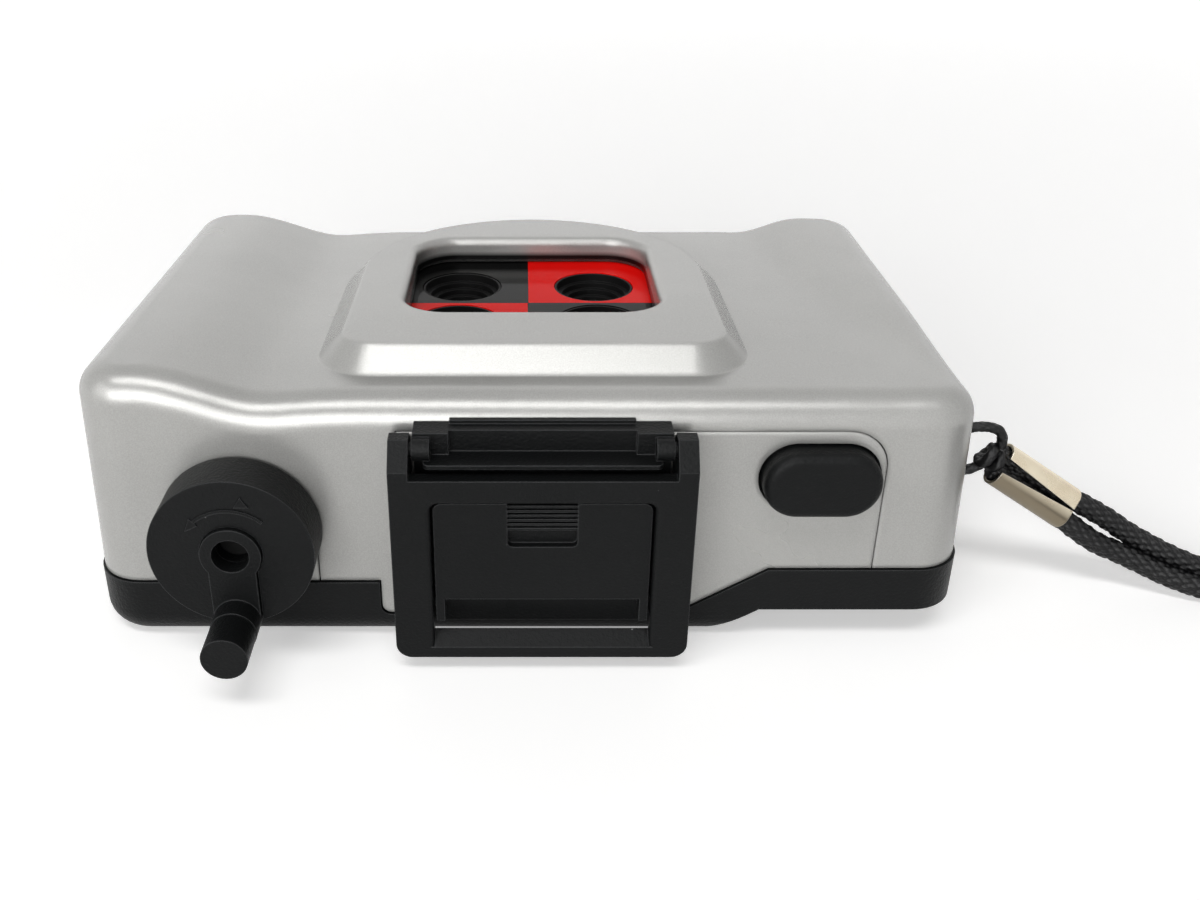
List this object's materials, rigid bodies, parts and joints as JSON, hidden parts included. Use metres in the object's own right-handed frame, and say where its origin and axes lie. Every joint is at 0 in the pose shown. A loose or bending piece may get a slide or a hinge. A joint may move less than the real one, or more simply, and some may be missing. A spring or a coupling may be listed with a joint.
{
  "type": "multi-lens film camera",
  "caption": "Compact film camera with four lenses behind a chequered window, folding frame finder, rewind crank, hinged back and wrist strap.",
  "frame": {"origin": "centre of the resting back face, between the top and base sides and between the two ends", "axes": "+Z forward through the lenses, +X towards the winding end, +Y towards the camera's base"},
  "size_m": [0.166, 0.0936, 0.0341],
  "materials": {
    "silver_plastic": "satin metallic paint",
    "black_plastic": "fine satin grain",
    "inner_black": "matt",
    "red_plastic": "gloss",
    "clear_plastic": "clear",
    "steel": "plain",
    "white_plastic": "matt",
    "foam": "soft foam",
    "woven_cord": "braided",
    "nickel": "bright plated"
  },
  "bodies": {
    "camera": {"front_shell": "silver_plastic", "top_panel": "silver_plastic", "rewind_tab": "silver_plastic", "main_frame": "inner_black", "light_baffle": "inner_black", "lens_board": "inner_black", "checker_plate": "inner_black", "checker_inlay": "red_plastic", "lens_barrel_1": "inner_black", "lens_barrel_2": "inner_black", "lens_barrel_3": "inner_black", "lens_barrel_4": "inner_black", "lens_1": "clear_plastic", "lens_2": "clear_plastic", "lens_3": "clear_plastic", "lens_4": "clear_plastic", "shutter_plate": "inner_black", "shutter_pivot": "steel", "lever_pin": "steel", "finder_base": "black_plastic", "finder_front_pins": "black_plastic", "finder_rear_pins": "black_plastic", "counter_window": "clear_plastic", "hinge_pin": "steel", "frame_screws": "steel", "board_screws": "steel", "button_spring": "steel", "release_spring": "steel", "strap_loop": "woven_cord", "strap_knot": "woven_cord", "strap_clamp": "nickel", "wrist_cord": "woven_cord", "wrist_coil": "woven_cord"},
    "shutter": {"shutter_disc": "steel"},
    "lever": {"shutter_lever": "inner_black"},
    "button": {"shutter_button": "black_plastic"},
    "front_frame": {"finder_front_frame": "black_plastic"},
    "rear_frame": {"finder_rear_frame": "black_plastic"},
    "rewind_slider": {"rewind_collar": "inner_black"},
    "crank": {"rewind_disc": "black_plastic", "crank_arm": "black_plastic", "grip_pin": "steel", "rewind_shaft": "inner_black"},
    "grip": {"crank_grip": "black_plastic"},
    "winder": {"advance_wheel": "black_plastic", "takeup_spool": "inner_black"},
    "sprocket_drum": {"sprocket": "inner_black"},
    "counter": {"counter_dial": "white_plastic"},
    "release": {"rewind_release": "black_plastic"},
    "door": {"back_door": "black_plastic", "light_seals": "foam", "pressure_spring": "steel"},
    "latch": {"door_latch": "black_plastic"},
    "pressure": {"pressure_plate": "steel"}
  },
  "joints": [
    {"name": "rewind_lift", "type": "slide", "parent": "camera", "child": "rewind_slider", "axis": [0, -1, 0], "range_m": [0, 0.004]},
    {"name": "rewind_spin", "type": "hinge", "parent": "rewind_slider", "child": "crank", "pos_m": [-0.0323, -0.03225, 0.0156], "axis": [0, -1, 0], "continuous": true},
    {"name": "grip_spin", "type": "hinge", "parent": "crank", "child": "grip", "pos_m": [-0.0323, -0.04325, 0.0073], "axis": [0, -1, 0], "continuous": true},
    {"name": "finder_front_fold", "type": "hinge", "parent": "camera", "child": "front_frame", "pos_m": [0.0015, -0.03565, 0.0273], "axis": [-1, 0, 0], "range_deg": [0, 90]},
    {"name": "finder_rear_fold", "type": "hinge", "parent": "camera", "child": "rear_frame", "pos_m": [0.0015, -0.03555, 0.0077], "axis": [1, 0, 0], "range_deg": [0, 90]},
    {"name": "button_press", "type": "slide", "parent": "camera", "child": "button", "axis": [0, 1, 0], "range_m": [0, 0.0012], "stiffness_N_per_m": 1200, "springref_m": -0.002, "deforming": ["button_spring"]},
    {"name": "lever_turn", "type": "hinge", "parent": "camera", "child": "lever", "pos_m": [0.0195, -0.01905, 0.0217], "axis": [0, 0, 1], "range_deg": [0, 8.7]},
    {"name": "shutter_spin", "type": "hinge", "parent": "camera", "child": "shutter", "pos_m": [0.0001, 0.00125, 0.0217], "axis": [0, 0, 1], "continuous": true},
    {"name": "winder_spin", "type": "hinge", "parent": "camera", "child": "winder", "pos_m": [0.0381, 0.00125, 0.0123], "axis": [0, 1, 0], "continuous": true},
    {"name": "sprocket_spin", "type": "hinge", "parent": "camera", "child": "sprocket_drum", "pos_m": [0.0246, 0.00125, 0.01155], "axis": [0, 1, 0], "continuous": true},
    {"name": "counter_spin", "type": "hinge", "parent": "camera", "child": "counter", "pos_m": [0.033, 0.02875, 0.017], "axis": [0, 1, 0], "continuous": true},
    {"name": "release_press", "type": "slide", "parent": "camera", "child": "release", "axis": [0, -1, 0], "range_m": [0, 0.0008], "stiffness_N_per_m": 800, "springref_m": -0.0015, "deforming": ["release_spring"]},
    {"name": "door_swing", "type": "hinge", "parent": "camera", "child": "door", "pos_m": [0.052, 0, 0.0098], "axis": [0, -1, 0], "range_deg": [0, 95]},
    {"name": "latch_slide", "type": "slide", "parent": "camera", "child": "latch", "axis": [0, 1, 0], "range_m": [0, 0.003]},
    {"name": "pressure_travel", "type": "slide", "parent": "door", "child": "pressure", "axis": [0, 0, -1], "range_m": [0, 0.001], "stiffness_N_per_m": 300, "springref_m": -0.002, "deforming": ["pressure_spring"]}
  ],
  "couplings": [
    {"joint": "lever_turn", "follows": "button_press", "rad_per_m": 125},
    {"joint": "sprocket_spin", "follows": "winder_spin", "ratio": 1}
  ]
}
